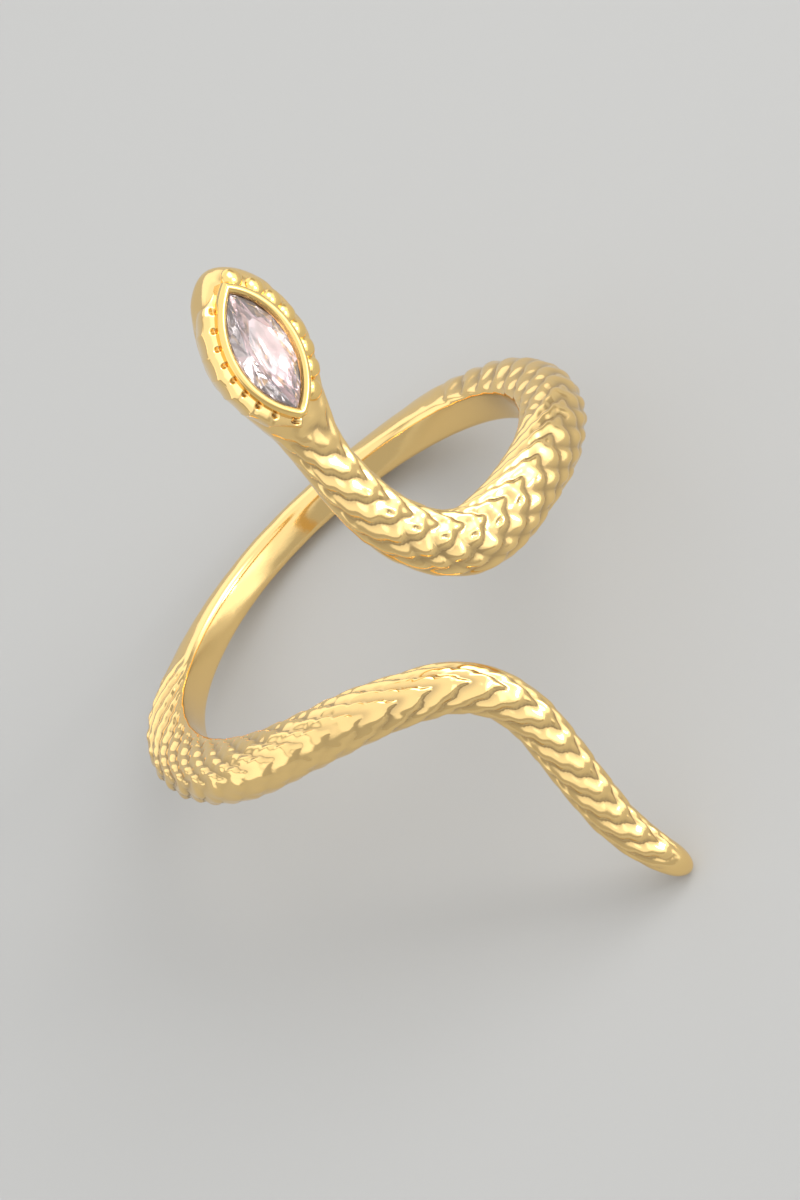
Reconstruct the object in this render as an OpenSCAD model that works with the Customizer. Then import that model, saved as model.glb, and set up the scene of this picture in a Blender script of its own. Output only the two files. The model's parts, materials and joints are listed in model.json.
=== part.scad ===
// Snake wrap ring: one cast body with a faceted stone set in its head.
// The snake is laid out flat on the unrolled surface of the finger, as turn and rise, and then
// wrapped round it. It runs from the nose down the neck, round the finger and down to the tail tip.

/* [Finger] */
// Inside diameter of the hoop
finger_d = 17.3; // [15:0.1:21]

/* [Head] */
// Reach of the nose above the hoop's middle plane, along the finger
head_reach = 14.9; // [13:0.1:18]
// Width across the jaws
head_w = 4.3; // [3.8:0.1:5]
// Thickness of the head above the finger
head_t = 2.45; // [2.3:0.05:2.9]

/* [Body] */
// Width of the body in the bend below the neck
body_w = 2.8; // [2:0.1:3.4]
// Thickness of the body in the hoop's two sides
body_t = 2.35; // [1.8:0.05:3]
// Width of the plain shank at the back of the finger
shank_w = 1.6; // [1.2:0.1:2.4]
// Thickness of the plain shank at the back of the finger
shank_t = 1.35; // [1:0.05:2]
// Drop of the hoop from the neck's bend to the tail's bend, along the finger
hoop_drop = 1; // [0:0.1:2]

/* [Tail] */
// Reach of the tail tip below the hoop's middle plane, along the finger
tail_reach = 15; // [12:0.1:18]
// Width of the hanging tail
tail_w = 2.1; // [1.5:0.1:2.6]
// Thickness of the hanging tail
tail_t = 1.95; // [1.5:0.05:2.4]

/* [Scales] */
// Length of one scale along the body
scale_l = 1.25; // [1:0.05:2]
// Height of the cast scales
scale_h = 0.12; // [0.04:0.01:0.16]

/* [Stone] */
// Length of the stone from tip to tip
stone_l = 4.8; // [4:0.05:5.4]
// Width of the stone
stone_w = 2.35; // [1.8:0.05:2.8]
// Height of the cut crown above the girdle
crown_h = 0.4; // [0.3:0.05:0.6]
// Depth of the cut below the girdle
pavilion_h = 1.05; // [0.7:0.05:1.3]
// Wall of the bezel collar round the stone
bezel_wall = 0.36; // [0.24:0.02:0.5]
// Height of the girdle above the finger
girdle_rise = 2.5; // [2.4:0.05:3]
// Clearance between the stone and its setting
stone_gap = 0.05; // [0.03:0.01:0.1]

/* [Hidden] */
$fn = 96;

// Columns of the section tables below. TURN is the angle round the finger in degrees.
TURN = 0;
RISE = 1;
WIDE = 2;
THICK = 3;

// Rise is a share of head_reach, width of head_w and thickness of head_t.
HEAD = [
    [295.0, 1.000, 0.40, 0.60],
    [294.1, 0.965, 0.53, 0.72],
    [293.0, 0.925, 0.71, 0.84],
    [291.0, 0.855, 0.91, 0.95],
    [288.4, 0.765, 0.99, 1.00],
    [286.0, 0.668, 0.80, 0.97],
    [284.4, 0.580, 0.59, 0.90],
];
// Rise is a share of head_reach, width of body_w and thickness of body_t.
NECK = [
    [282.8, 0.487, 0.75, 0.84],
    [281.7, 0.387, 0.77, 0.84],
    [281.6, 0.292, 0.83, 0.84],
    [283.0, 0.196, 0.88, 0.84],
    [286.7, 0.100, 0.93, 0.84],
    [293.0, 0.030, 0.98, 0.84],
];
// Rise is a share of hoop_drop, width and thickness are shares of the growth from shank to body.
HOOP = [
    [302.5, -0.07, 1.02, 0.60],
    [314.8, -0.31, 0.88, 0.70],
    [330.0, -0.55, 0.82, 0.88],
    [346.5, -0.61, 0.70, 1.00],
    [362.5, -0.62, 0.54, 0.95],
    [380.0, -0.58, 0.42, 0.93],
    [401.0, -0.57, 0.22, 0.86],
    [425.0, -0.50, 0.04, 0.50],
    [450.0, -0.34, 0.00, 0.00],
    [475.0, -0.28, 0.00, 0.00],
    [500.0, -0.38, 0.08, 0.38],
    [520.0, -0.48, 0.26, 0.86],
    [538.0, -0.66, 0.36, 1.02],
    [556.0, -0.80, 0.48, 1.05],
    [575.0, -0.91, 0.52, 1.06],
];
// Rise is a share of tail_reach, width of tail_w and thickness of tail_t.
TAIL = [
    [592.3, -0.069, 1.03, 1.10],
    [606.2, -0.090, 1.00, 1.10],
    [617.0, -0.133, 0.95, 1.06],
    [626.1, -0.193, 0.97, 1.00],
    [631.6, -0.277, 0.95, 1.01],
    [633.7, -0.381, 0.95, 0.97],
    [633.0, -0.507, 0.94, 0.93],
    [631.6, -0.635, 0.92, 0.88],
    [630.8, -0.754, 0.87, 0.81],
    [631.8, -0.862, 0.78, 0.72],
    [633.8, -0.950, 0.64, 0.62],
    [635.2, -1.000, 0.52, 0.52],
];

finger_r = finger_d / 2;
// Radius at which lengths along the flat layout are true
wrap_r = finger_r + body_t / 2;
// Roundness of the section on the body and on the head: 2 is an ellipse, more is squarer
squareness = 2.3;
head_squareness = 3;
// Share of the thickness that the finger hole cuts off the section's underside
dip = 0.14;
// Step between section points, and the angles at which the underside starts and ends
side_step = 15;
underside = 60;
// Length over which the nose and the tail tip are rounded
tip_l = 0.9;

// The stone's turn and rise on the head, and how its face leans, pitches and spins
stone_turn = 287;
stone_rise = 0.8 * head_reach;
face_lean = 10;
face_pitch = 4;
face_spin = -18;

// Rows of the centre line in millimetres: along the wrap, rise, half width, thickness.
function along(turn) = turn * PI / 180 * wrap_r;
function grown(small, large, share) = small + share * (large - small);
rows = [
    for (r = HEAD) [along(r[TURN]), r[RISE] * head_reach, r[WIDE] * head_w / 2, r[THICK] * head_t],
    for (r = NECK) [along(r[TURN]), r[RISE] * head_reach, r[WIDE] * body_w / 2, r[THICK] * body_t],
    for (r = HOOP) [along(r[TURN]), r[RISE] * hoop_drop,
        grown(shank_w, body_w, r[WIDE]) / 2, grown(shank_t, body_t, r[THICK])],
    for (r = TAIL) [along(r[TURN]), r[RISE] * tail_reach, r[WIDE] * tail_w / 2, r[THICK] * tail_t],
];
last = len(rows) - 1;

// Length of each span between rows, and the length reached at each row
span = [for (i = [0:last - 1]) norm([rows[i + 1][0] - rows[i][0], rows[i + 1][1] - rows[i][1]])];
reached = [for (i = 0, sum = 0; i <= last; sum = sum + (i < last ? span[i] : 0), i = i + 1) sum];
body_l = reached[last];

// Slope of the curve at a row, from the spans on both sides of it
function slope(i) =
    i == 0 ? (rows[1] - rows[0]) / span[0] :
    i == last ? (rows[last] - rows[last - 1]) / span[last - 1] :
    ((rows[i] - rows[i - 1]) / span[i - 1] * span[i] + (rows[i + 1] - rows[i]) / span[i] * span[i - 1])
        / (span[i - 1] + span[i]);
slopes = [for (i = [0:last]) slope(i)];

// Smooth curve through the rows at length s, and its direction
function row_at(s) = min(last - 1, floor(lookup(s, [for (i = [0:last]) [reached[i], i]])));
function curve_at(s) =
    let (i = row_at(s), h = span[i], t = (s - reached[i]) / h)
    (2 * pow(t, 3) - 3 * pow(t, 2) + 1) * rows[i] + (pow(t, 3) - 2 * pow(t, 2) + t) * h * slopes[i]
    + (3 * pow(t, 2) - 2 * pow(t, 3)) * rows[i + 1] + (pow(t, 3) - pow(t, 2)) * h * slopes[i + 1];
function heading(s) =
    let (a = curve_at(max(0, s - 0.05)), b = curve_at(min(body_l, s + 0.05)), d = [b[0] - a[0], b[1] - a[1]])
    d / norm(d);

// Length at which the hoop reaches a turn
function length_at(turn) =
    let (i = max([for (i = [0:last - 1]) if (rows[i][0] <= along(turn)) i]))
    reached[i] + (along(turn) - rows[i][0]) / (rows[i + 1][0] - rows[i][0]) * span[i];

// Turns between which the shank is plain, and the length over which the scales fade there
PLAIN_TURNS = [400, 515];
plain_from = length_at(PLAIN_TURNS[0]);
plain_to = length_at(PLAIN_TURNS[1]);
fade_l = 2 * scale_l;

// Stations along the body: four to a scale, wider apart on the plain shank, closer at both tips
step = scale_l / 4;
plain_step = 0.9;
tip_steps = 5;
front_n = floor((plain_from - tip_l) / step);
back_n = floor((body_l - tip_l - plain_to) / step);
front_end = tip_l + front_n * step;
back_start = body_l - tip_l - back_n * step;
plain_n = ceil((back_start - front_end) / plain_step);
function tip_at(k) = tip_l * (1 - cos(90 * k / tip_steps));
stations = [
    for (k = [0:tip_steps - 1]) tip_at(k),
    for (k = [0:front_n - 1]) tip_l + k * step,
    for (k = [0:plain_n - 1]) grown(front_end, back_start, k / plain_n),
    for (k = [0:back_n]) back_start + k * step,
    for (k = [tip_steps - 1:-1:0]) body_l - tip_at(k),
];

// Share of the full section at length s, which closes roundly at both tips
tip_least = 0.12;
function tip_share(s) =
    let (d = min(s, body_l - s))
    d >= tip_l ? 1 : max(tip_least, sqrt(1 - pow(1 - d / tip_l, 2)));

// Heights along one scale, as shares of scale_h. Each column lies half a scale behind its neighbour.
SCALE = [0.80, 1.00, 0.00, 0.45];
function ridge(k, j) = SCALE[(k + 2 * (j % 2)) % 4];
smooth_tip = tip_l + 0.3;
function between(x) = min(1, max(0, x));
function scales_at(s) =
    between(min(s - smooth_tip, body_l - smooth_tip - s, max(plain_from - s, s - plain_to)) / fade_l);
function flank_share(angle) = between(2 * sin(angle) + 1);
function sunk_by(s, k, j, angle) =
    scale_h * scales_at(s) * flank_share(angle) * (1 - ridge(k, j));

// Share of the head's own form at length s: it leans with the stone's face, and fades along the neck
jaw = 4;
neck = len(HEAD) + 1;
function head_share(s) = between((reached[neck] - s) / (reached[neck] - reached[jaw]));

// One section: a rounded form that stands on the finger, its underside inside the finger hole
angles = [for (a = [-underside:side_step:180 + underside]) a];
ring_n = len(angles);
function rounded(x, power) = sign(x) * pow(abs(x), 2 / power);
function wrapped(x, rise, height) =
    let (turn = x / wrap_r * 180 / PI, r = finger_r + height)
    [r * cos(turn), r * sin(turn), rise];
function section(k) =
    let (
        s = stations[k], p = curve_at(s), h = heading(s), share = tip_share(s),
        deep = p[3] * (1 + dip) / 2, mid = p[3] - deep, head = head_share(s),
        lean = tan(face_lean * head), power = grown(squareness, head_squareness, head)
    )
    [for (j = [0:ring_n - 1])
        let (
            a = angles[j], sunk = sunk_by(s, k, j, a),
            out = (p[2] * share - sunk) * rounded(cos(a), power),
            level = mid + (deep * share - sunk) * rounded(sin(a), power),
            up = level - out * lean * max(0, level / p[3])
        )
        wrapped(p[0] - h[1] * out, p[1] + h[0] * out, up)];
body_points = [for (k = [0:len(stations) - 1]) each section(k)];

// Faces between neighbouring sections, folded along the scales' ridges, and a cap on each tip
function folded(k, j) = ridge(k, j) + ridge(k + 1, j + 1) > ridge(k + 1, j) + ridge(k, j + 1);
function panel(a, b, c, d, fold) = fold ? [[a, c, d], [a, d, b]] : [[a, c, b], [b, c, d]];
body_faces = [
    [for (j = [0:ring_n - 1]) j],
    for (k = [0:len(stations) - 2], j = [0:ring_n - 1])
        let (a = k * ring_n + j, b = k * ring_n + (j + 1) % ring_n)
        each panel(a, b, a + ring_n, b + ring_n, folded(k, j)),
    [for (j = [ring_n - 1:-1:0]) (len(stations) - 1) * ring_n + j],
];

// The ring rests on its tail tip and the back of the hoop, the finger's axis leaning back
rest_roll = -0.8;
tail_points = [for (k = [len(stations) - back_n:len(stations) - 1]) each section(k)];
hoop_points = [for (k = [tip_steps + front_n:tip_steps + front_n + plain_n]) each section(k)];
function laid(p, lean) =
    let (y = p[1] * cos(lean) + p[2] * sin(lean), z = p[2] * cos(lean) - p[1] * sin(lean))
    [p[0] * cos(rest_roll) + z * sin(rest_roll), y, z * cos(rest_roll) - p[0] * sin(rest_roll)];
function lowest(points, lean) = min([for (p = points) laid(p, lean)[2]]);
function balanced(from, to, tries) =
    let (mid = (from + to) / 2)
    tries == 0 ? mid :
    lowest(tail_points, mid) < lowest(hoop_points, mid) ? balanced(mid, to, tries - 1) :
    balanced(from, mid, tries - 1);
rest_lean = balanced(0, 80, 24);
laid_points = [for (p = body_points) laid(p, rest_lean)];
function middle(axis) =
    let (values = [for (p = laid_points) p[axis]])
    (min(values) + max(values)) / 2;
rest_origin = [middle(0), middle(1), lowest(body_points, rest_lean)];
module at_rest() {
    translate(-rest_origin)
        rotate([-rest_lean, rest_roll, 0])
            children();
}

// The stone's place on the head
module on_head() {
    rotate([0, 0, stone_turn])
        translate([finger_r + girdle_rise, 0, stone_rise])
            rotate([0, 0, face_lean])
                rotate([0, 90 - face_pitch, 0])
                    rotate([0, 0, face_spin])
                        children();
}

// Boat-shaped outline of two arcs through both tips, grown by an even margin
arc_r = (pow(stone_l, 2) + pow(stone_w, 2)) / (4 * stone_w);
module stone_outline(margin) {
    intersection_for (side = [-1, 1])
        translate([0, side * (arc_r - stone_w / 2)])
            circle(r = arc_r + margin);
}

// Finger hole: a straight wall in the hoop that bears on the finger, and beyond it the hole eases open
bearing_h = 0.6 * shank_w;
bearing_rise = -0.45 * hoop_drop;
ease = 0.1;
module finger_hole() {
    rotate_extrude()
        polygon([
            [0, -tail_reach - tip_l],
            [finger_r + ease, -tail_reach - tip_l],
            [finger_r, bearing_rise - bearing_h / 2],
            [finger_r, bearing_rise + bearing_h / 2],
            [finger_r + ease, head_reach + tip_l],
            [0, head_reach + tip_l],
        ]);
}

// Collar round the stone, rising from inside the head, pointed at the nose and blunt at the neck
girdle_h = 0.12;
collar_rim = 0.25;
collar_root = 1.2;
blunt_r = stone_l / 2;
module bezel() {
    translate([0, 0, -collar_root])
        linear_extrude(collar_root + collar_rim)
            intersection() {
                stone_outline(bezel_wall + stone_gap);
                translate([bezel_wall - stone_w / 2, 0])
                    circle(r = blunt_r + stone_w / 2 + stone_gap);
            }
}

// Pocket for the stone: open at the collar's rim, with a ledge under the girdle
ledge_w = 0.25;
ledge_drop = girdle_h / 2 + 1.1 * ledge_w + stone_gap;
module pocket() {
    translate([0, 0, -ledge_drop])
        linear_extrude(ledge_drop + head_t)
            stone_outline(stone_gap);
    translate([0, 0, -pavilion_h - 2 * stone_gap])
        linear_extrude(pavilion_h)
            stone_outline(-ledge_w);
}

// Cut stone: points on its outline at angle t round the middle, drawn in by a share
function boat(t, share, z) =
    let (x = stone_l / 2 * cos(t), y = sqrt(pow(arc_r, 2) - pow(x, 2)) - arc_r + stone_w / 2)
    [share * x, share * sign(sin(t)) * y, z];
mains = 8;
facet = 360 / mains;
TABLE = 0.56;
STAR = 0.80;
KNEE = 0.62;
stone_points = [
    for (k = [0:mains - 1]) boat(facet * (k + 0.5), TABLE, crown_h),
    for (k = [0:mains - 1]) boat(facet * k, STAR, 0.6 * crown_h),
    for (z = [1, -1], i = [0:2 * mains - 1]) boat(facet / 2 * i, 1, z * girdle_h / 2),
    for (k = [0:mains - 1]) boat(facet * k, KNEE, -0.5 * pavilion_h),
    [0, 0, -pavilion_h],
];
culet = len(stone_points) - 1;
function next(k) = (k + 1) % mains;
function upper(i) = 2 * mains + (i + 2 * mains) % (2 * mains);
function lower(i) = upper(i) + 2 * mains;
stone_faces = [
    [for (k = [mains - 1:-1:0]) k],
    for (k = [0:mains - 1])
        let (
            star = mains + k, star_next = mains + next(k),
            knee = 6 * mains + k, knee_next = 6 * mains + next(k)
        )
        each [
            [star_next, k, next(k)],
            [k, upper(2 * k + 1), star],
            [k, star_next, upper(2 * k + 1)],
            [star, upper(2 * k + 1), upper(2 * k)],
            [star, upper(2 * k), upper(2 * k - 1)],
            [knee, lower(2 * k), lower(2 * k + 1)],
            [knee, lower(2 * k - 1), lower(2 * k)],
            [culet, knee, lower(2 * k + 1)],
            [culet, lower(2 * k + 1), knee_next],
        ],
    for (i = [0:2 * mains - 1])
        each [[upper(i), lower(i + 1), lower(i)], [upper(i), upper(i + 1), lower(i + 1)]],
];

module snake_band() {
    color("gold")
        at_rest()
            difference() {
                union() {
                    polyhedron(body_points, body_faces, convexity = 12);
                    on_head() bezel();
                }
                finger_hole();
                on_head() pocket();
            }
}

module stone() {
    color("rosybrown")
        at_rest()
            on_head()
                polyhedron(stone_points, stone_faces, convexity = 2);
}

snake_band();
stone();
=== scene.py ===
import json
import math

import bpy
import numpy as np
from mathutils import Matrix, Vector


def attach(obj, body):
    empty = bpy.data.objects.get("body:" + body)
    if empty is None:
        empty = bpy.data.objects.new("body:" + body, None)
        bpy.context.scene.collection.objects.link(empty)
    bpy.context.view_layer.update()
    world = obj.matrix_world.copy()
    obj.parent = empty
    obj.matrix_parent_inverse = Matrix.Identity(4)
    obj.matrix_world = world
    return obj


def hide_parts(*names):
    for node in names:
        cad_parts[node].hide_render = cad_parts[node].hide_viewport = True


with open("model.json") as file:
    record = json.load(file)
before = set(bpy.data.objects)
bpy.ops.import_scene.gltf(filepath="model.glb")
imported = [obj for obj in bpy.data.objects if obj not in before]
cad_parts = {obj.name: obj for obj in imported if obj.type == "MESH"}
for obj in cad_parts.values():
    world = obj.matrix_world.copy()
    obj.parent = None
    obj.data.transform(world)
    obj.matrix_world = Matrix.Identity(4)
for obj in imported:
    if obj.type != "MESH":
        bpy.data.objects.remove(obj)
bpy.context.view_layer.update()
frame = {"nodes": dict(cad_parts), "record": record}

# The place of the ring on the table. The solids are built round the finger's axis and laid down
# afterwards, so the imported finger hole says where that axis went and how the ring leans. The
# hole's middle is HOLE_RISE along the axis from the ring's own middle.
MM = 0.001
HOLE_RISE = -0.45
hole = next(m for m in frame["record"]["mounts"] if m["name"] == "finger_hole")
hole_axis = Vector(hole["axis"]).normalized()
ring_lean = math.asin(hole_axis.y)
ring_roll = math.atan2(hole_axis.x, hole_axis.z)
ring_turned = Matrix.Rotation(ring_roll, 4, "Y") @ Matrix.Rotation(-ring_lean, 4, "X")
ring_centre = Vector(hole["pos_m"]) - hole_axis * HOLE_RISE * MM
laid_down = Matrix.Translation(ring_centre) @ ring_turned @ Matrix.Scale(MM, 4)

# The snake is one investment casting in brass, plated with yellow gold and polished. Its body is
# a rounded bar that follows a drawn line on the unrolled finger, from the nose to the tail tip.
# The face that lies on the finger is hollowed to fit it, with rounded edges.
FINGER_R, WRAP_R = 8.65, 9.825
HEAD_REACH, HEAD_W, HEAD_T = 14.9, 4.3, 2.45
BODY_W, BODY_T, SHANK_W, SHANK_T, HOOP_DROP = 2.8, 2.35, 1.6, 1.35, 1.0
TAIL_REACH, TAIL_W, TAIL_T = 15.0, 2.1, 1.95
TIP_L, DIP, INNER_EDGE = 0.9, 0.14, 0.2
BODY_SQUARE, HEAD_SQUARE, FACE_LEAN = 2.3, 3.0, math.radians(10)
BEARING, EASE = (-0.93, 0.03), 0.1

# Turn round the finger in degrees, then shares of the reach, width and thickness named beside it
HEAD_ROWS = [
    (295.0, 1.000, 0.40, 0.60), (294.1, 0.965, 0.53, 0.72), (293.0, 0.925, 0.71, 0.84),
    (291.0, 0.855, 0.91, 0.95), (288.4, 0.765, 0.99, 1.00), (286.0, 0.668, 0.80, 0.97),
    (284.4, 0.580, 0.59, 0.90)]
NECK_ROWS = [
    (282.8, 0.487, 0.75, 0.84), (281.7, 0.387, 0.77, 0.84), (281.6, 0.292, 0.83, 0.84),
    (283.0, 0.196, 0.88, 0.84), (286.7, 0.100, 0.93, 0.84), (293.0, 0.030, 0.98, 0.84)]
HOOP_ROWS = [
    (302.5, -0.07, 1.02, 0.60), (314.8, -0.31, 0.88, 0.70), (330.0, -0.55, 0.82, 0.88),
    (346.5, -0.61, 0.70, 1.00), (362.5, -0.62, 0.54, 0.95), (380.0, -0.58, 0.42, 0.93),
    (401.0, -0.57, 0.22, 0.86), (425.0, -0.50, 0.04, 0.50), (450.0, -0.34, 0.00, 0.00),
    (475.0, -0.28, 0.00, 0.00), (500.0, -0.38, 0.08, 0.38), (520.0, -0.48, 0.26, 0.86),
    (538.0, -0.66, 0.36, 1.02), (556.0, -0.80, 0.48, 1.05), (575.0, -0.91, 0.52, 1.06)]
TAIL_ROWS = [
    (592.3, -0.069, 1.03, 1.10), (606.2, -0.090, 1.00, 1.10), (617.0, -0.133, 0.95, 1.06),
    (626.1, -0.193, 0.97, 1.00), (631.6, -0.277, 0.95, 1.01), (633.7, -0.381, 0.95, 0.97),
    (633.0, -0.507, 0.94, 0.93), (631.6, -0.635, 0.92, 0.88), (630.8, -0.754, 0.87, 0.81),
    (631.8, -0.862, 0.78, 0.72), (633.8, -0.950, 0.64, 0.62), (635.2, -1.000, 0.52, 0.52)]


def along_finger(turn):
    return math.radians(turn) * WRAP_R


def grown(small, large, share):
    return small + share * (large - small)


rows = np.array(
    [(along_finger(t), r * HEAD_REACH, w * HEAD_W / 2, h * HEAD_T) for t, r, w, h in HEAD_ROWS]
    + [(along_finger(t), r * HEAD_REACH, w * BODY_W / 2, h * BODY_T) for t, r, w, h in NECK_ROWS]
    + [(along_finger(t), r * HOOP_DROP, grown(SHANK_W, BODY_W, w) / 2, grown(SHANK_T, BODY_T, h))
       for t, r, w, h in HOOP_ROWS]
    + [(along_finger(t), r * TAIL_REACH, w * TAIL_W / 2, h * TAIL_T) for t, r, w, h in TAIL_ROWS])
span = np.hypot(*np.diff(rows[:, :2], axis=0).T)
reached = np.concatenate([[0], np.cumsum(span)])
body_l = reached[-1]
steps = np.diff(rows, axis=0) / span[:, None]
before, after = span[:-1, None], span[1:, None]
slopes = np.vstack([
    steps[:1], (steps[:-1] * after + steps[1:] * before) / (before + after), steps[-1:]])


def body_line(s):
    """Along the finger, rise, half width and thickness at each length from the nose."""
    i = np.clip(np.searchsorted(reached, s, side="right") - 1, 0, len(span) - 1)
    h = span[i][:, None]
    t = ((s - reached[i]) / span[i])[:, None]
    return ((2 * t**3 - 3 * t**2 + 1) * rows[i] + (t**3 - 2 * t**2 + t) * h * slopes[i]
            + (3 * t**2 - 2 * t**3) * rows[i + 1] + (t**3 - t**2) * h * slopes[i + 1])


def length_at(turn):
    """How far along the body a turn round the hoop is, from the nose."""
    hoop = rows[len(HEAD_ROWS) + len(NECK_ROWS):]
    return float(np.interp(along_finger(turn), hoop[:, 0], reached[-len(hoop):]))


# Twelve stations to a scale, wider steps on the plain shank, and rounded tips. Round the body the
# points are 2.5 degrees apart, or 10 on the face that lies on the finger.
SCALE_L, SHANK_STEP = 1.25, 0.4
FINE_STEP = SCALE_L / 12
PLAIN_FROM, PLAIN_TO = length_at(408), length_at(500)
tip_turns = np.radians(np.linspace(2, 86, 14))
tip_stations = TIP_L * (1 - np.cos(tip_turns))
fine_n = int((PLAIN_FROM - TIP_L) / FINE_STEP)
plain_n = int((PLAIN_TO - PLAIN_FROM) / SHANK_STEP)
tail_n = int((body_l - TIP_L - PLAIN_TO) / FINE_STEP)
stations = np.concatenate([
    tip_stations, np.linspace(TIP_L, PLAIN_FROM, fine_n, endpoint=False),
    np.linspace(PLAIN_FROM, PLAIN_TO, plain_n, endpoint=False),
    np.linspace(PLAIN_TO, body_l - TIP_L, tail_n), body_l - tip_stations[::-1]])
angles = np.radians(np.concatenate([np.arange(-60, 240, 2.5), np.arange(240, 300, 10)]))


def signed_power(x, power):
    return np.sign(x) * np.abs(x) ** power


def fade(value, start, end):
    """0 before start, 1 after end, smooth between."""
    t = np.clip((value - start) / (end - start), 0, 1)
    return t * t * (3 - 2 * t)


JAW, NECK, A_LITTLE = 4, len(HEAD_ROWS) + 1, 0.05
s, a = stations[:, None], angles[None, :]
line = body_line(stations)
ahead = (body_line(np.minimum(stations + A_LITTLE, body_l))
         - body_line(np.maximum(stations - A_LITTLE, 0)))
heading = ahead[:, :2] / np.linalg.norm(ahead[:, :2], axis=1)[:, None]
tip_gap = np.minimum(stations, body_l - stations)
tip_share = np.sqrt(1 - np.clip(1 - tip_gap / TIP_L, 0, 1) ** 2)[:, None]
head_share = np.clip((reached[NECK] - s) / (reached[NECK] - reached[JAW]), 0, 1)
half_w, thick = line[:, 2:3], line[:, 3:4]
deep = thick * (1 + DIP) / 2
power = 2 / (BODY_SQUARE + head_share * (HEAD_SQUARE - BODY_SQUARE))
out = half_w * tip_share * signed_power(np.cos(a), power)
level = thick - deep + deep * tip_share * signed_power(np.sin(a), power)
level = level - out * np.tan(FACE_LEAN * head_share) * np.clip(level / thick, 0, None)
rise = line[:, 1:2] + heading[:, 0:1] * out
wall = np.interp(rise, [-TAIL_REACH, *BEARING, HEAD_REACH], [EASE, 0, 0, EASE])
over_wall = level - wall
level = wall + (over_wall + np.sqrt(over_wall ** 2 + INNER_EDGE ** 2)) / 2
turn = (line[:, 0:1] - heading[:, 1:2] * out) / WRAP_R
body_points = np.stack([
    (FINGER_R + level) * np.cos(turn), (FINGER_R + level) * np.sin(turn), rise], -1)

# The pocket under the stone is cast with the head: the metal inside the collar is pressed down into
# a boat-shaped bowl.
STONE_L, STONE_W = 4.8, 2.35
STONE_TURN, STONE_RISE, GIRDLE_RISE = math.radians(287), 0.8 * HEAD_REACH, 2.5
STONE_NOD, STONE_SLANT = math.radians(86), math.radians(-18)
COLLAR_WALL, STONE_GAP = 0.36, 0.05
FACE_LEVEL, BOWL_RIM, BOWL_DEPTH, BOWL_STEEP = 0.9, 0.15, 1.35, 1.3
ARC_R = (STONE_L ** 2 + STONE_W ** 2) / (4 * STONE_W)
ARC_OFF = ARC_R - STONE_W / 2
on_head = (
    Matrix.Rotation(STONE_TURN, 4, "Z")
    @ Matrix.Translation((FINGER_R + GIRDLE_RISE, 0, STONE_RISE))
    @ Matrix.Rotation(FACE_LEAN, 4, "Z") @ Matrix.Rotation(STONE_NOD, 4, "Y")
    @ Matrix.Rotation(STONE_SLANT, 4, "Z"))


def moved(points, matrix):
    m = np.array(matrix)
    return points @ m[:3, :3].T + m[:3, 3]


at_stone = moved(body_points, on_head.inverted())
off_stone = np.hypot(at_stone[..., 0], np.abs(at_stone[..., 1]) + ARC_OFF) - ARC_R
near_stone = (s < reached[NECK]) & (level > FACE_LEVEL)
bowl = -BOWL_RIM - BOWL_DEPTH * np.clip(-off_stone / (STONE_W / 2) * BOWL_STEEP, 0, 1)
pressed = near_stone & (off_stone < COLLAR_WALL / 2)
at_stone[..., 2] = np.where(pressed, np.minimum(at_stone[..., 2], bowl), at_stone[..., 2])
body_points = moved(at_stone, on_head)

# Where the scales stand: in columns beside a crest line on the back, fading at the tips, the plain
# shank and the collar, and rubbed faint on the front of the hoop. The columns inside the right
# turn are wider, so its ribs end in long blocks.
CREST_BODY, CREST_HEAD = 62, 80
OUTER_COLUMN, INNER_COLUMN, LONG_COLUMN = 22, 15, 40
TIP_BARE, TIP_SCALED, SHANK_FADE = 0.8, 2.0, 2.6
COLLAR_BARE, COLLAR_SCALED = 0.75, 1.3
UPPER_FLANK, LOWER_FLANK, CAST_FLANK = (-0.85, -0.35), (-0.45, 0.15), (-0.75, -0.2)
WORN_SHARE, WORN_FADE, WORN_SIDE = 0.55, 3, (-2.0, 1.5)
WORN_FROM, WORN_TO = length_at(552), body_l - 17.5
right_turn = [length_at(turned) for turned in (335, 372, 430, 480)]
inner_column = np.interp(
    s, right_turn, [INNER_COLUMN, LONG_COLUMN, LONG_COLUMN, INNER_COLUMN])
around = np.degrees(a) - grown(CREST_BODY, CREST_HEAD, head_share)
around = around / np.where(around > 0, OUTER_COLUMN, inner_column)
lengthwise = s / SCALE_L + 0 * a
off_shank = np.maximum(
    1 - fade(s, PLAIN_FROM - SHANK_FADE, PLAIN_FROM), fade(s, PLAIN_TO, PLAIN_TO + SHANK_FADE))
on_flanks = np.where(
    np.cos(a) > 0, fade(np.sin(a), *UPPER_FLANK), fade(np.sin(a), *LOWER_FLANK))
cover = fade(tip_gap, TIP_BARE, TIP_SCALED)[:, None] * off_shank * on_flanks
cover = cover * np.where(near_stone, fade(off_stone, COLLAR_BARE, COLLAR_SCALED), 1)
worn = fade(s, WORN_FROM, WORN_FROM + WORN_FADE) * (1 - fade(s, WORN_TO, WORN_TO + WORN_FADE))
cover = cover * (1 - WORN_SHARE * worn * fade(around, *WORN_SIDE))
cast_side = fade(np.sin(a), *CAST_FLANK) * fade(tip_gap, 0, TIP_BARE)[:, None]

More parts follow.
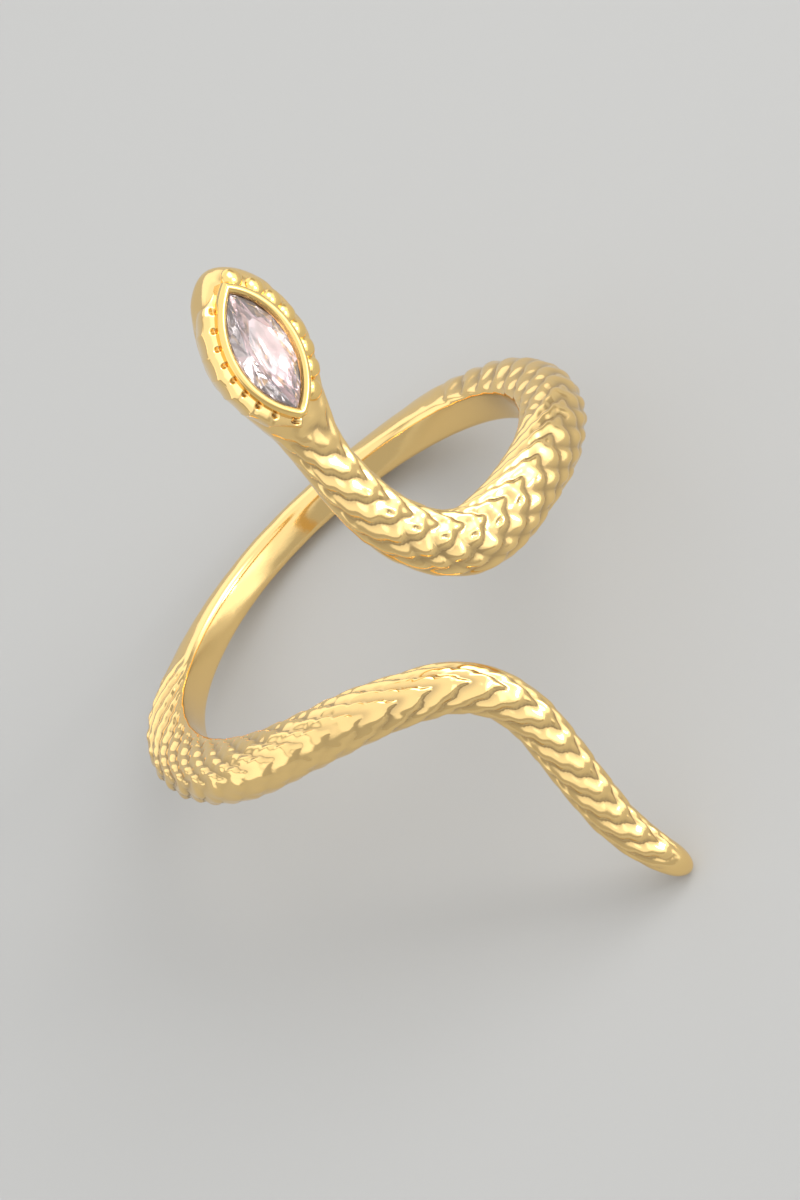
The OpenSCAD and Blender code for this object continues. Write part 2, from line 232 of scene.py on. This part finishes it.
# The ribs are cut across into bumps, deepest on the loop's outer side. Towards the inner edge they
# run on uncut, on the loop from the crest itself, and so they do past the outer columns. How far
# each of these reaches is counted in columns from the crest.
UNCUT_SHARE, LOOP_CUT, OUTER_UNCUT = 0.12, 0.9, 0.85
BODY_UNCUT, LOOP_UNCUT, UNCUT_FADE = -2.5, -0.6, (-0.9, 0.5)
LOOP_SIDE, OUTER_FADE = (0.3, 1.3), 0.9
NARROW, WIDE = 0.7, 3.5
loop_from, loop_to = reached[NECK + 1], reached[NECK + 3]
loop_share = 1 - fade(s, length_at(425), length_at(475))
uncut = grown(BODY_UNCUT, LOOP_UNCUT, loop_share)
crossed = grown(UNCUT_SHARE, 1, fade(around, *(uncut + side for side in UNCUT_FADE)))
on_loop = fade(s, loop_from, loop_to) * (1 - fade(s, length_at(350), length_at(385)))
crossed = crossed * (1 + LOOP_CUT * on_loop * fade(around, *LOOP_SIDE))
outer_reach = np.interp(
    s, [loop_from, loop_to, length_at(598), length_at(622)], [NARROW, WIDE, WIDE, NARROW])
crossed = crossed * (1 - OUTER_UNCUT * fade(around, outer_reach, outer_reach + OUTER_FADE))

# One small casting pit sits beside the crest on each rib of the neck and the loop's foot
APEX_ROUND = 0.6
PIT_ACROSS, PIT_ALONG, PIT_R = 0.95, 0.6, 0.11
rib_phase = (lengthwise + np.hypot(around, APEX_ROUND) / 2) % 1
column_w = math.radians(OUTER_COLUMN) * thick
pit_far = np.hypot((rib_phase - PIT_ALONG) * SCALE_L, (around - PIT_ACROSS) * column_w)
pitted_part = fade(s, reached[NECK], loop_from) * (1 - fade(s, length_at(306), length_at(318)))
pits = np.exp(-(pit_far / PIT_R) ** 2) * cover * pitted_part


def loft_faces(ring_n, point_n, closed=False):
    """Quads between neighbouring rings of points, and from the last to the first if closed."""
    first = np.arange(ring_n * point_n).reshape(ring_n, point_n)
    beside = np.roll(first, -1, axis=1)
    quads = np.stack([
        first, beside, np.roll(beside, -1, axis=0), np.roll(first, -1, axis=0)], -1)
    return (quads if closed else quads[:-1]).reshape(-1, 4)


def new_piece(name, points, faces):
    mesh = bpy.data.meshes.new(name)
    mesh.from_pydata(points, [], faces)
    piece = bpy.data.objects.new(name, mesh)
    bpy.context.scene.collection.objects.link(piece)
    return piece


count, last = len(angles), (len(stations) - 1) * len(angles)
nose_pole, tail_pole = len(stations) * count, len(stations) * count + 1
caps = [(nose_pole, (i + 1) % count, i) for i in range(count)]
caps += [(tail_pole, last + i, last + (i + 1) % count) for i in range(count)]
poles = body_points[[0, -1]].mean(axis=1)
snake_body = new_piece(
    "snake_body", moved(np.vstack([body_points.reshape(-1, 3), poles]), laid_down).tolist(),
    loft_faces(len(stations), count).tolist() + caps)
for name, values in (
        ("lengthwise", lengthwise), ("around", around), ("cover", cover), ("cast_side", cast_side),
        ("crossed", crossed), ("pits", pits), ("pocket", pressed)):
    layer = snake_body.data.attributes.new(name, "FLOAT", "POINT")
    layer.data.foreach_set("value", np.append(values, (0, 0)).astype(np.float32))


def feed(tree, value, socket):
    """Links a node's output to a socket, or sets the socket to a plain value."""
    if isinstance(value, bpy.types.NodeSocket):
        tree.links.new(value, socket)
    else:
        socket.default_value = value


def reckon(tree, operation, a, b=0.0, c=0.0):
    """A Math node whose inputs are sockets or plain numbers."""
    node = tree.nodes.new("ShaderNodeMath")
    node.operation = operation
    for socket, value in zip(node.inputs, (a, b, c)):
        feed(tree, value, socket)
    return node.outputs[0]


def named_inputs(tree, sizes, others=()):
    """Adds a tree's inputs, its sizes with their values, and gives back their identifiers."""
    made = {}
    for name, kind in (*others, *((size, "Float") for size in sizes)):
        socket = tree.interface.new_socket(name, in_out="INPUT", socket_type="NodeSocket" + kind)
        if name in sizes:
            socket.default_value = sizes[name]
        made[name] = socket.identifier
    return made


def attribute(tree, name, kind="FLOAT"):
    node = tree.nodes.new("GeometryNodeInputNamedAttribute")
    node.data_type = kind
    node.inputs["Name"].default_value = name
    return node.outputs["Attribute"]


def drawn_height(tree, phase, points):
    """A scale's height over its length, drawn through points."""
    curve = tree.nodes.new("ShaderNodeFloatCurve")
    tree.links.new(phase, curve.inputs["Value"])
    drawn = curve.mapping.curves[0].points
    for point in points[1:-1]:
        drawn.new(*point)
    drawn[0].location, drawn[-1].location = points[0], points[-1]
    curve.mapping.update()
    return curve.outputs[0]


def finished_tree(tree, geometry, metal):
    """Realize Instances, smooth shading and Set Material, then the tree's output."""
    for kind in ("RealizeInstances", "SetShadeSmooth", "SetMaterial"):
        node = tree.nodes.new("GeometryNode" + kind)
        tree.links.new(geometry, node.inputs["Geometry"])
        geometry = node.outputs["Geometry"]
    tree.links.new(metal, node.inputs["Material"])
    tree.links.new(geometry, tree.nodes.new("NodeGroupOutput").inputs[0])


def made_plain(piece, tree, identifiers, values):
    """Runs a tree on a piece and keeps the result as its own plain mesh."""
    modifier = piece.modifiers.new(tree.name, "NODES")
    modifier.node_group = tree
    for name, value in values.items():
        modifier[identifiers[name]] = value
    graph = bpy.context.evaluated_depsgraph_get()
    plain = bpy.data.meshes.new_from_object(piece.evaluated_get(graph))
    piece.modifiers.clear()
    old, piece.data = piece.data, plain
    bpy.data.meshes.remove(old)
    plain.name = piece.name


# Cast scales: ribs run back from the crest line on both sides, each one cut across into bumps. The
# casting's face is a little lumpy, and polishing takes a hair off it all over.
SCALE_SIZES = {
    "Scale Height": 0.14 * MM, "Cross Cut": 0.48, "Apex Round": APEX_ROUND, "Waver": 0.06,
    "Lump Depth": 0.06 * MM, "Lump Size": 0.9 * MM, "Polish Loss": 0.01 * MM,
    "Pit Depth": 0.13 * MM, "Painted Groove Shade": 0.65, "Painted Shade Narrowness": 2.5}
RIB_FORM = [(0, 0), (0.15, 0.2), (0.4, 0.68), (0.62, 0.98), (0.72, 1), (0.88, 0.65), (1, 0)]
BUMP_FORM = [(0, 0), (0.2, 0.4), (0.55, 1), (0.85, 0.55), (1, 0)]
TREE_GIVEN = (("Geometry", "Geometry"), ("Metal", "Material"))
scales = bpy.data.node_groups.new("cast_scales", "GeometryNodeTree")
scale_ids = named_inputs(scales, SCALE_SIZES, TREE_GIVEN)
scales.interface.new_socket("Geometry", in_out="OUTPUT", socket_type="NodeSocketGeometry")
given = scales.nodes.new("NodeGroupInput").outputs
run, apart = attribute(scales, "lengthwise"), attribute(scales, "around")
apex = reckon(scales, "POWER", given["Apex Round"], 2.0)
side = reckon(scales, "SQRT", reckon(scales, "MULTIPLY_ADD", apart, apart, apex))
half_side = reckon(scales, "MULTIPLY", side, 0.5)
crossing = reckon(scales, "SUBTRACT", run, half_side)
wave = reckon(scales, "COSINE", reckon(scales, "MULTIPLY", crossing, 2 * math.pi))
slanted = reckon(scales, "ADD", run, half_side)
rib = reckon(scales, "FRACT", reckon(scales, "MULTIPLY_ADD", wave, given["Waver"], slanted))
rib_height = drawn_height(scales, rib, RIB_FORM)
bump_height = drawn_height(scales, reckon(scales, "FRACT", crossing), BUMP_FORM)
cut = reckon(scales, "SUBTRACT", 1.0, bump_height)
cut = reckon(scales, "MULTIPLY", cut, attribute(scales, "crossed"))
cut = reckon(scales, "MULTIPLY", cut, given["Cross Cut"])
height = reckon(scales, "MULTIPLY", rib_height, reckon(scales, "SUBTRACT", 1.0, cut))
sunk = reckon(scales, "SUBTRACT", 1.0, height)
sunk = reckon(scales, "MULTIPLY", sunk, attribute(scales, "cover"))
lumps = scales.nodes.new("ShaderNodeTexNoise")
lumps.inputs["Detail"].default_value = 1.0
scales.links.new(scales.nodes.new("GeometryNodeInputPosition").outputs[0], lumps.inputs["Vector"])
scales.links.new(reckon(scales, "DIVIDE", 1.0, given["Lump Size"]), lumps.inputs["Scale"])
lump = reckon(
    scales, "MULTIPLY_ADD", lumps.outputs["Fac"], given["Lump Depth"], given["Polish Loss"])
lump = reckon(scales, "MULTIPLY", lump, attribute(scales, "cast_side"))
pitted = attribute(scales, "pits")
drop = reckon(scales, "MULTIPLY_ADD", sunk, given["Scale Height"], lump)
drop = reckon(scales, "MULTIPLY_ADD", pitted, given["Pit Depth"], drop)
inward = scales.nodes.new("ShaderNodeVectorMath")
inward.operation = "SCALE"
scales.links.new(scales.nodes.new("GeometryNodeInputNormal").outputs[0], inward.inputs[0])
scales.links.new(reckon(scales, "MULTIPLY", drop, -1.0), inward.inputs["Scale"])
# Painted shade: the deeper a point sits in a groove, the darker its gold colour, and the pits are
# darkened as well.
shade = reckon(scales, "POWER", sunk, given["Painted Shade Narrowness"])
shade = reckon(scales, "MULTIPLY", shade, given["Painted Groove Shade"])
shade_stored = scales.nodes.new("GeometryNodeStoreNamedAttribute")
shade_stored.inputs["Name"].default_value = "painted_groove_shade"
scales.links.new(given["Geometry"], shade_stored.inputs["Geometry"])
scales.links.new(reckon(scales, "MAXIMUM", shade, pitted), shade_stored.inputs["Value"])
shifted = scales.nodes.new("GeometryNodeSetPosition")
scales.links.new(shade_stored.outputs[0], shifted.inputs["Geometry"])
scales.links.new(inward.outputs[0], shifted.inputs["Offset"])
finished_tree(scales, shifted.outputs["Geometry"], given["Metal"])

# Polishing leaves the gold mirror-bright, with faint hazy patches and ripples. The grooves and pits
# are painted a darker gold, as painted shade. The pocket is polished bright as foil.
AS_CAST = {"Haze Size": 700.0, "Least Roughness": 0.09, "Haze": 0.06, "Ripple": 0.01 * MM}
BURNISHED = {"Haze Size": 500.0, "Least Roughness": 0.07, "Haze": 0.04, "Ripple": 0.005 * MM}
polish = bpy.data.node_groups.new("hand_polish", "ShaderNodeTree")
named_inputs(polish, AS_CAST)
polish.interface.new_socket("Roughness", in_out="OUTPUT", socket_type="NodeSocketFloat")
polish.interface.new_socket("Normal", in_out="OUTPUT", socket_type="NodeSocketVector")
polish_in = polish.nodes.new("NodeGroupInput").outputs
polish_out = polish.nodes.new("NodeGroupOutput").inputs
haze = polish.nodes.new("ShaderNodeTexNoise")
haze.inputs["Detail"].default_value = 4.0
polish.links.new(polish.nodes.new("ShaderNodeTexCoord").outputs["Object"], haze.inputs["Vector"])
polish.links.new(polish_in["Haze Size"], haze.inputs["Scale"])
hazy = reckon(
    polish, "MULTIPLY_ADD", haze.outputs["Fac"], polish_in["Haze"], polish_in["Least Roughness"])
polish.links.new(hazy, polish_out["Roughness"])
ripple = polish.nodes.new("ShaderNodeBump")
polish.links.new(haze.outputs["Fac"], ripple.inputs["Height"])
polish.links.new(polish_in["Ripple"], ripple.inputs["Distance"])
polish.links.new(ripple.outputs["Normal"], polish_out["Normal"])

# Painted shade: the darker gold colour put into the grooves and pits.
PAINTED_SHADE_GOLD = (0.34, 0.24, 0.13, 1)
BRIGHT_FOIL = (0.90, 0.83, 0.83, 1)


def toned(tree, layer_name, under, over):
    """A colour that gives way to another where a layer of the mesh says so."""
    layer = tree.nodes.new("ShaderNodeAttribute")
    layer.attribute_name = layer_name
    mix = tree.nodes.new("ShaderNodeMix")
    mix.data_type = "RGBA"
    tree.links.new(layer.outputs["Fac"], mix.inputs["Factor"])
    feed(tree, under, mix.inputs[6])
    feed(tree, over, mix.inputs[7])
    return mix.outputs[2]


def gold(name, bright, finish):
    """Gold plate, with painted shade darkening the grooves and pits, and foil-bright in the pocket.
    """
    metal = bpy.data.materials.new(name)
    metal.use_nodes = True
    tree = metal.node_tree
    shader = tree.nodes["Principled BSDF"].inputs
    shader["Metallic"].default_value = 1.0
    polished = tree.nodes.new("ShaderNodeGroup")
    polished.node_tree = polish
    for socket, value in finish.items():
        polished.inputs[socket].default_value = value
    for socket in ("Roughness", "Normal"):
        tree.links.new(polished.outputs[socket], shader[socket])
    groove_shaded = toned(tree, "painted_groove_shade", bright, PAINTED_SHADE_GOLD)
    tree.links.new(toned(tree, "pocket", groove_shaded, BRIGHT_FOIL), shader["Base Color"])
    return metal


cast_gold = gold("cast_gold", (0.98, 0.69, 0.29, 1), AS_CAST)
made_plain(snake_body, scales, scale_ids, {**SCALE_SIZES, "Metal": cast_gold})
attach(snake_body, "root")
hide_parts("snake_band")

# The collar is a plain polished wall cast on the head and burnished over the stone's edge. It is
# pointed towards the nose and blunt towards the neck.
COLLAR_RIM, COLLAR_ROOT, RIM_ROUND = 0.25, 0.75, 0.17
BLUNT_R = STONE_L / 2 + STONE_W / 2 + STONE_GAP
COLLAR_R = ARC_R + STONE_GAP + COLLAR_WALL
TURNED_OVER = [0, 3, 2, 1]


def ray_to_circle(phi, centre, radius):
    """How far a ray from the middle goes before it leaves a circle."""
    towards = np.cos(phi) * centre[0] + np.sin(phi) * centre[1]
    return towards + np.sqrt(radius ** 2 - (centre[0] ** 2 + centre[1] ** 2) + towards ** 2)


def boat_reach(phi, radius):
    """How far a ray from the middle goes before it leaves the boat between two arcs."""
    return np.minimum(
        ray_to_circle(phi, (0, -ARC_OFF), radius), ray_to_circle(phi, (0, ARC_OFF), radius))


rim_t = np.linspace(0, 2 * np.pi, 240, endpoint=False)
rim_x = STONE_L / 2 * np.cos(rim_t)
rim_y = np.sign(np.sin(rim_t)) * (np.sqrt(ARC_R ** 2 - rim_x ** 2) - ARC_OFF)
phi = np.arctan2(rim_y, rim_x)
inner = boat_reach(phi, ARC_R + STONE_GAP)
outer = np.minimum(
    boat_reach(phi, COLLAR_R), ray_to_circle(phi, (COLLAR_WALL - STONE_W / 2, 0), BLUNT_R))
over_rim = np.linspace(0, math.pi, 15)
wall_share = np.concatenate([[0.0], 0.5 - 0.5 * np.cos(over_rim), [1.0]])
wall_z = np.concatenate([
    [-COLLAR_ROOT], COLLAR_RIM - RIM_ROUND * (1 - np.sin(over_rim)), [-COLLAR_ROOT]])
wall_far = inner[:, None] + wall_share * (outer - inner)[:, None]
collar_points = np.stack([
    wall_far * np.cos(phi)[:, None], wall_far * np.sin(phi)[:, None],
    np.broadcast_to(wall_z, wall_far.shape)], -1)
stone_collar = new_piece(
    "stone_collar", moved(collar_points.reshape(-1, 3), laid_down @ on_head).tolist(),
    loft_faces(len(phi), len(wall_z), closed=True)[:, TURNED_OVER].tolist())
stone_collar.data.shade_smooth()
burnished_gold = gold("burnished_gold", (0.98, 0.68, 0.25, 1), BURNISHED)
stone_collar.data.materials.append(burnished_gold)
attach(stone_collar, "root")
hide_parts("snake_band")

# A row of eight beads edges the collar on the crown side, in the place of scales. They are cast
# with the head, sunk into it for more than half their height, and burnished with the collar.
BEAD_COUNT, BEAD_FROM, BEAD_GAP = 8, -2.8, 0.72
BEAD_SIZE, BEAD_FORM = (0.42, 0.42, 0.28), {"Squareness": 2.2}
BEAD_OUT, BEAD_LEVEL, BEAD_LEAN = 0.33, -0.43, math.radians(22)
beading = bpy.data.node_groups.new("bead_row", "GeometryNodeTree")
bead_ids = named_inputs(beading, BEAD_FORM, TREE_GIVEN)
beading.interface.new_socket("Geometry", in_out="OUTPUT", socket_type="NodeSocketGeometry")
bead_in = beading.nodes.new("NodeGroupInput").outputs
ball = beading.nodes.new("GeometryNodeMeshUVSphere")
for socket, value in (("Segments", 32), ("Rings", 20), ("Radius", 1.0)):
    ball.inputs[socket].default_value = value
ball_place = beading.nodes.new("GeometryNodeInputPosition").outputs[0]
ball_axes = beading.nodes.new("ShaderNodeSeparateXYZ")
beading.links.new(ball_place, ball_axes.inputs[0])
parts = [
    reckon(beading, "POWER", reckon(beading, "ABSOLUTE", axis), bead_in["Squareness"])
    for axis in ball_axes.outputs]
swell = reckon(beading, "ADD", reckon(beading, "ADD", parts[0], parts[1]), parts[2])
swell = reckon(beading, "POWER", swell, reckon(beading, "DIVIDE", -1.0, bead_in["Squareness"]))
squared = beading.nodes.new("ShaderNodeVectorMath")
squared.operation = "SCALE"
beading.links.new(ball_place, squared.inputs[0])
beading.links.new(swell, squared.inputs["Scale"])
bead_form = beading.nodes.new("GeometryNodeSetPosition")
beading.links.new(ball.outputs["Mesh"], bead_form.inputs["Geometry"])
beading.links.new(squared.outputs[0], bead_form.inputs["Position"])
placed = beading.nodes.new("GeometryNodeInstanceOnPoints")
beading.links.new(bead_in["Geometry"], placed.inputs["Points"])
beading.links.new(bead_form.outputs["Geometry"], placed.inputs["Instance"])
for name, socket in (("bead_turn", "Rotation"), ("bead_size", "Scale")):
    beading.links.new(attribute(beading, name, "FLOAT_VECTOR"), placed.inputs[socket])
finished_tree(beading, placed.outputs["Instances"], bead_in["Metal"])

bead_places, bead_turns = [], []
bead_curve_r = COLLAR_R + BEAD_OUT
for k in range(BEAD_COUNT):
    x = BEAD_FROM + k * BEAD_GAP
    y = math.sqrt(bead_curve_r ** 2 - x * x) - ARC_OFF
    outwards = Matrix.Rotation(-math.asin(x / bead_curve_r), 4, "Z")
    tipped = on_head @ outwards @ Matrix.Rotation(-BEAD_LEAN, 4, "X")
    bead_places.append(laid_down @ on_head @ Vector((x, y, BEAD_LEVEL)))
    bead_turns.append((ring_turned @ tipped).to_euler())
crown_beads = new_piece("crown_beads", bead_places, [])
bead_sizes = [[d * MM for d in BEAD_SIZE]] * BEAD_COUNT
for name, values in (("bead_size", bead_sizes), ("bead_turn", bead_turns)):
    layer = crown_beads.data.attributes.new(name, "FLOAT_VECTOR", "POINT")
    layer.data.foreach_set("vector", np.array(values, np.float32).ravel())
made_plain(crown_beads, beading, bead_ids, {**BEAD_FORM, "Metal": burnished_gold})
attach(crown_beads, "root")
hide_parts("snake_band")

# On the cheek side the scales beside the collar run together into a pale ledge. It is part of the
# casting, with a scalloped edge, small pits at the collar's foot, and an underside that runs down
# into the cheek. It starts at the nose and narrows at both ends.
LEDGE_FROM, LEDGE_TO, LEDGE_W, LEDGE_LEVEL, LEDGE_FOOT = -2.75, 2.95, 0.50, -0.10, -1.9
NOSE_TAPER, NECK_TAPER, NECK_LOSS, END_DROP = 0.8, 1.0, 0.5, 0.35
LEDGE_SCALE, LEDGE_ROOT, LEDGE_SLOPE = 0.62, -0.2, 0.22
SCALLOP, SCALLOP_L, SCALLOP_CURVE = 0.10, 1.2 * LEDGE_SCALE, 0.7
NOTCH_OFF, NOTCH_R, NOTCH_DEPTH, NOTCH_SHARE, FURROW_SHARE = 0.07, 0.06, 0.12, 1.6, 0.08
EDGE_ROUND, EDGE_AT, EDGE_DROP = 0.10, 0.92, 0.04
UNDER_STEPS, UNDER_TOP, UNDER_CURVE = 13, 0.98, 1.7
NOSE_PIT_SHADE, NECK_PIT_SHADE, PIT_SHADE_FADE = 0.15, 0.75, (-0.8, 1.6)
ledge_x = np.linspace(LEDGE_FROM, LEDGE_TO, 231)[:, None]
taper = fade(ledge_x, LEDGE_FROM, LEDGE_FROM + NOSE_TAPER)
taper = taper * (1 - NECK_LOSS * fade(ledge_x, LEDGE_TO - NECK_TAPER, LEDGE_TO))
notch = np.clip(-np.cos(2 * np.pi * ledge_x / LEDGE_SCALE), 0, 1) ** 3
scallop = np.abs(np.sin(np.pi * ledge_x / SCALLOP_L)) ** SCALLOP_CURVE
edge = taper * (LEDGE_W - SCALLOP * scallop)
across = np.array([0.02, 0.08, 0.14, 0.22, 0.34, 0.48, 0.62, 0.74, 0.84, EDGE_AT])
top_out = across * edge
pit = NOTCH_SHARE * notch * np.exp(-((top_out - NOTCH_OFF) / NOTCH_R) ** 2)
pit = pit + FURROW_SHARE * notch
top_z = LEDGE_LEVEL - END_DROP * (1 - taper) - LEDGE_SLOPE * top_out - NOTCH_DEPTH * pit
top_z = top_z - EDGE_ROUND * taper * np.clip(across / EDGE_AT - 0.5, 0, 1) ** 2
down = np.linspace(0, 1, UNDER_STEPS + 1)
under_share = np.where(down > 0, 1 - down ** UNDER_CURVE, UNDER_TOP)
under_out = under_share * edge + LEDGE_ROOT * down ** 2
under_z = top_z[:, -1:] - EDGE_DROP + (LEDGE_FOOT - top_z[:, -1:]) * down
root = np.full_like(ledge_x, LEDGE_ROOT)
ledge_r = COLLAR_R + np.hstack([root, top_out, under_out, root])
ledge_z = np.hstack([top_z[:, :1], top_z, under_z, under_z[:, -1:]])
bearing = ledge_x / COLLAR_R
ledge_points = np.stack([
    ledge_r * bearing, ARC_OFF - ledge_r * np.sqrt(1 - bearing ** 2), ledge_z], -1)
ledge_n, per = ledge_z.shape
ledge_last = (ledge_n - 1) * per
ledge_faces = loft_faces(ledge_n, per)[:, TURNED_OVER].tolist()
ledge_faces += [list(range(per)), list(range(ledge_last + per - 1, ledge_last - 1, -1))]
cheek_ledge = new_piece(
    "cheek_ledge", moved(ledge_points.reshape(-1, 3), laid_down @ on_head).tolist(), ledge_faces)
cheek_ledge.data.shade_smooth()
cheek_ledge.data.materials.append(cast_gold)
# Painted shade: the ledge's pits are coloured darker, faintly at the nose and more strongly towards
# the neck.
pit_shade = pit * grown(NOSE_PIT_SHADE, NECK_PIT_SHADE, fade(ledge_x, *PIT_SHADE_FADE))
pit_shade = np.pad(pit_shade, ((0, 0), (1, under_z.shape[1] + 1)))
layer = cheek_ledge.data.attributes.new("painted_groove_shade", "FLOAT", "POINT")
layer.data.foreach_set("value", pit_shade.ravel().astype(np.float32))
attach(cheek_ledge, "root")
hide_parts("snake_band")

# The stone is a marquise brilliant in pale pink cubic zirconia, held under the collar's edge. Its
# solid has the right facets already, so it only takes its glass, faintly clouded in tint.
stone = frame["nodes"]["stone"]
pink_stone = bpy.data.materials.new("pink_stone")
pink_stone.use_nodes = True
stone_tree = pink_stone.node_tree
cloud = stone_tree.nodes.new("ShaderNodeTexNoise")
cloud.inputs["Scale"].default_value = 450.0
cloud.inputs["Detail"].default_value = 1.0
stone_place = stone_tree.nodes.new("ShaderNodeTexCoord").outputs["Object"]
stone_tree.links.new(stone_place, cloud.inputs["Vector"])
tint = stone_tree.nodes.new("ShaderNodeValToRGB")
lilac, blush = tint.color_ramp.elements
lilac.position, lilac.color = 0.38, (0.93, 0.87, 0.90, 1)
blush.position, blush.color = 0.62, (0.93, 0.81, 0.79, 1)
stone_tree.links.new(cloud.outputs["Fac"], tint.inputs["Fac"])
glass = stone_tree.nodes["Principled BSDF"].inputs
stone_tree.links.new(tint.outputs["Color"], glass["Base Color"])
for socket, value in (("Roughness", 0.0), ("IOR", 1.6), ("Transmission Weight", 0.9)):
    glass[socket].default_value = value
for slot in stone.material_slots:
    slot.material = pink_stone

# The table is a sheet of pale grey studio paper, seen from above.
PAPER = 0.6
corners = [(-PAPER, -PAPER, 0), (PAPER, -PAPER, 0), (PAPER, PAPER, 0), (-PAPER, PAPER, 0)]
studio_paper = new_piece("studio_paper", corners, [(0, 1, 2, 3)])
paper = bpy.data.materials.new("studio_paper")
paper.use_nodes = True
matt = paper.node_tree.nodes["Principled BSDF"].inputs
matt["Base Color"].default_value = (0.415, 0.415, 0.407, 1)
matt["Roughness"].default_value = 0.9
studio_paper.data.materials.append(paper)

# Soft studio light: feathered panels overhead, at the right, the left and the back, and two small
# bright ones at the right, which give the bumps their pale spots. The room itself is bright.
AT_RING = Vector((0, 0, 0.01))


def softbox(name, place, size, power, feather):
    """A rectangular panel that fades over a share of its half width towards each edge."""
    light = bpy.data.lights.new(name, "AREA")
    light.shape = "RECTANGLE"
    light.size, light.size_y = size
    light.energy = power
    light.use_nodes = True
    tree = light.node_tree
    spot = tree.nodes.new("ShaderNodeSeparateXYZ")
    tree.links.new(tree.nodes.new("ShaderNodeNewGeometry").outputs["Parametric"], spot.inputs[0])
    glow = 1.0
    for axis in range(2):
        edge = tree.nodes.new("ShaderNodeMapRange")
        edge.interpolation_type = "SMOOTHSTEP"
        edge.inputs["From Max"].default_value = feather / 2
        tree.links.new(reckon(tree, "PINGPONG", spot.outputs[axis], 0.5), edge.inputs["Value"])
        glow = reckon(tree, "MULTIPLY", edge.outputs["Result"], glow)
    tree.links.new(glow, tree.nodes["Emission"].inputs["Strength"])
    lamp = bpy.data.objects.new(name, light)
    lamp.location = place
    lamp.rotation_euler = (AT_RING - Vector(place)).to_track_quat("-Z", "Y").to_euler()
    bpy.context.scene.collection.objects.link(lamp)


softbox("overhead_panel", (0.10, -0.05, 0.60), (2.8, 2.8), 16.0, 0.35)
softbox("right_panel", (0.72, -0.32, 0.26), (1.5, 0.8), 3.8, 0.5)
softbox("left_panel", (-0.75, 0.25, 0.22), (1.3, 0.7), 2.4, 0.5)
softbox("back_panel", (0.10, 0.85, 0.22), (1.6, 0.7), 3.0, 0.5)
softbox("key_panel", (0.27, 0.04, 0.26), (0.30, 0.30), 0.95, 0.6)
softbox("glint_panel", (0.33, -0.19, 0.155), (0.11, 0.11), 0.50, 0.4)
world = bpy.data.worlds.new("studio_room")
bpy.context.scene.world = world
world.use_nodes = True
room = world.node_tree.nodes["Background"].inputs
room["Color"].default_value = (1, 1, 1, 1)
room["Strength"].default_value = 0.50

# The camera looks at the front of the hoop from above, turned so that the head is at the upper
# left and the tail runs to the lower right.
CAMERA_AWAY, CAMERA_TILT, CAMERA_TURN = 320.0, math.radians(19.41), math.radians(45.35)
AIM_RIGHT, AIM_UP = 1.80, -1.34
tilted = Vector((0, math.sin(CAMERA_TILT), math.cos(CAMERA_TILT)))
right = Vector((math.cos(CAMERA_TURN), 0, 0)) - math.sin(CAMERA_TURN) * tilted
upward = Vector((math.sin(CAMERA_TURN), 0, 0)) + math.cos(CAMERA_TURN) * tilted
back = Vector((0, -math.cos(CAMERA_TILT), math.sin(CAMERA_TILT)))
seen_from = laid_down @ (back * CAMERA_AWAY + right * AIM_RIGHT + upward * AIM_UP)
held = ring_turned.to_3x3() @ Matrix((right, upward, back)).transposed()
lens = bpy.data.cameras.new("photo_camera")
lens.sensor_width, lens.lens = 36.0, 252.0
photo_camera = bpy.data.objects.new("photo_camera", lens)
photo_camera.matrix_world = Matrix.Translation(seen_from) @ held.to_4x4()
bpy.context.scene.collection.objects.link(photo_camera)
bpy.context.scene.camera = photo_camera
bpy.context.scene.view_settings.view_transform = "Standard"
